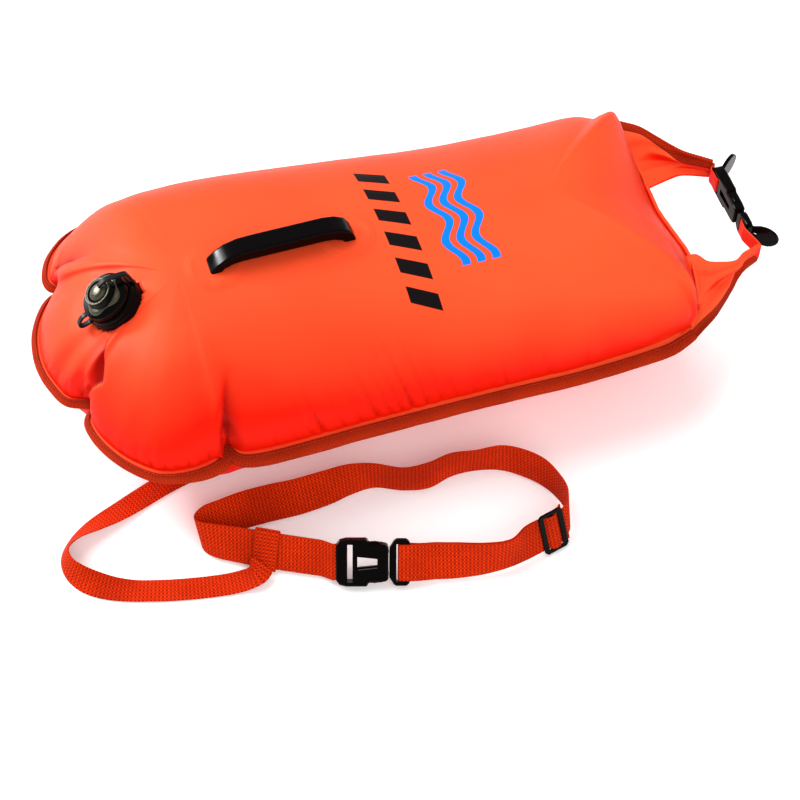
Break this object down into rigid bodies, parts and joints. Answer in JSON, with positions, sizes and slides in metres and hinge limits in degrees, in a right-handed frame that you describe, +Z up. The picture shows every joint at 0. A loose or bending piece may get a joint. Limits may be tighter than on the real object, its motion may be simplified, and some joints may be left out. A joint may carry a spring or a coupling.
{
  "type": "open water swim buoy",
  "caption": "Inflatable open water swim buoy and dry bag with a roll-top mouth, carry grip, screw valve, leash and adjustable waist belt.",
  "frame": {"origin": "middle of the flattened underside on which the bag rests", "axes": "+X towards the rolled mouth, +Y away from the waist belt, +Z up through the carry grip"},
  "size_m": [0.8249, 0.5076, 0.2155],
  "materials": {
    "coated_fabric": "satin coated fabric",
    "pouch_film": "soft film",
    "binding_tape": "fine woven tape",
    "webbing": "ribbed webbing",
    "black_plastic": "moulded, slightly glossy",
    "black_rubber": "matt"
  },
  "bodies": {
    "buoy": {"belt_front_run": "webbing", "belt_socket": "black_plastic", "belt_webbing": "webbing", "carry_grip": "black_plastic", "dry_compartment": "pouch_film", "far_buckle_strip": "coated_fabric", "far_mouth_ear": "coated_fabric", "grip_patch_front": "coated_fabric", "grip_patch_rear": "coated_fabric", "leash": "webbing", "leash_patch": "webbing", "lower_panel": "coated_fabric", "mouth_roll": "coated_fabric", "mouth_stiffener": "black_plastic", "near_buckle_strip": "coated_fabric", "near_mouth_ear": "coated_fabric", "plug_tether": "black_rubber", "roll_socket": "black_plastic", "seam_binding": "binding_tape", "unit_tether": "black_rubber", "upper_panel": "coated_fabric", "valve_base": "black_plastic", "valve_seal": "black_rubber"},
    "valve_unit_body": {"valve_unit": "black_plastic", "valve_flap": "black_rubber"},
    "valve_plug_body": {"valve_plug": "black_plastic"},
    "belt_tongue_body": {"belt_tongue": "black_plastic"},
    "belt_prong_upper_body": {"belt_prong_upper": "black_plastic"},
    "belt_prong_lower_body": {"belt_prong_lower": "black_plastic"},
    "belt_slider_body": {"belt_slider": "black_plastic"},
    "roll_tongue_body": {"roll_tongue": "black_plastic"},
    "roll_prong_upper_body": {"roll_prong_upper": "black_plastic"},
    "roll_prong_lower_body": {"roll_prong_lower": "black_plastic"},
    "leash_loop_body": {"leash_loop": "webbing"}
  },
  "joints": [
    {"name": "valve_unit_turn", "type": "hinge", "parent": "buoy", "child": "valve_unit_body", "pos_m": [-0.2429, 0, 0.17505], "axis": [-0.5446, 0, 0.8387], "range_deg": [0, 270], "deforming": ["unit_tether", "plug_tether"]},
    {"name": "valve_plug_pull", "type": "slide", "parent": "valve_unit_body", "child": "valve_plug_body", "axis": [-0.5446, 0, 0.8387], "range_m": [0, 0.012], "deforming": ["plug_tether"]},
    {"name": "belt_tongue_slide", "type": "slide", "parent": "buoy", "child": "belt_tongue_body", "axis": [0.9511, -0.309, 0], "range_m": [0, 0.036], "deforming": ["belt_front_run", "belt_prong_upper", "belt_prong_lower"]},
    {"name": "belt_prong_upper_squeeze", "type": "hinge", "parent": "belt_tongue_body", "child": "belt_prong_upper_body", "pos_m": [-0.04521, -0.27183, 0.03119], "axis": [-0.2435, -0.7494, 0.6157], "range_deg": [0, 9], "stiffness_Nm_per_rad": 0.8},
    {"name": "belt_prong_lower_squeeze", "type": "hinge", "parent": "belt_tongue_body", "child": "belt_prong_lower_body", "pos_m": [-0.04951, -0.28504, 0.01341], "axis": [0.2435, 0.7494, -0.6157], "range_deg": [0, 9], "stiffness_Nm_per_rad": 0.8},
    {"name": "belt_slider_travel", "type": "slide", "parent": "buoy", "child": "belt_slider_body", "axis": [-0.9732, -0.2298, 0], "range_m": [0, 0.05], "deforming": ["belt_front_run", "belt_webbing"]},
    {"name": "roll_tongue_slide", "type": "slide", "parent": "buoy", "child": "roll_tongue_body", "axis": [-0.0523, -0.9986, 0], "range_m": [0, 0.037], "deforming": ["near_buckle_strip", "near_mouth_ear", "roll_prong_upper", "roll_prong_lower"]},
    {"name": "roll_prong_upper_squeeze", "type": "hinge", "parent": "roll_tongue_body", "child": "roll_prong_upper_body", "pos_m": [0.43566, -0.02616, 0.09219], "axis": [0.9986, -0.0523, 0], "range_deg": [0, 9], "stiffness_Nm_per_rad": 0.5},
    {"name": "roll_prong_lower_squeeze", "type": "hinge", "parent": "roll_tongue_body", "child": "roll_prong_lower_body", "pos_m": [0.43566, -0.02616, 0.10582], "axis": [-0.9986, 0.0523, 0], "range_deg": [0, 9], "stiffness_Nm_per_rad": 0.5},
    {"name": "leash_loop_travel", "type": "slide", "parent": "buoy", "child": "leash_loop_body", "axis": [0.8718, -0.4899, 0], "range_m": [-0.015, 0.02], "deforming": ["leash", "belt_webbing"]}
  ]
}
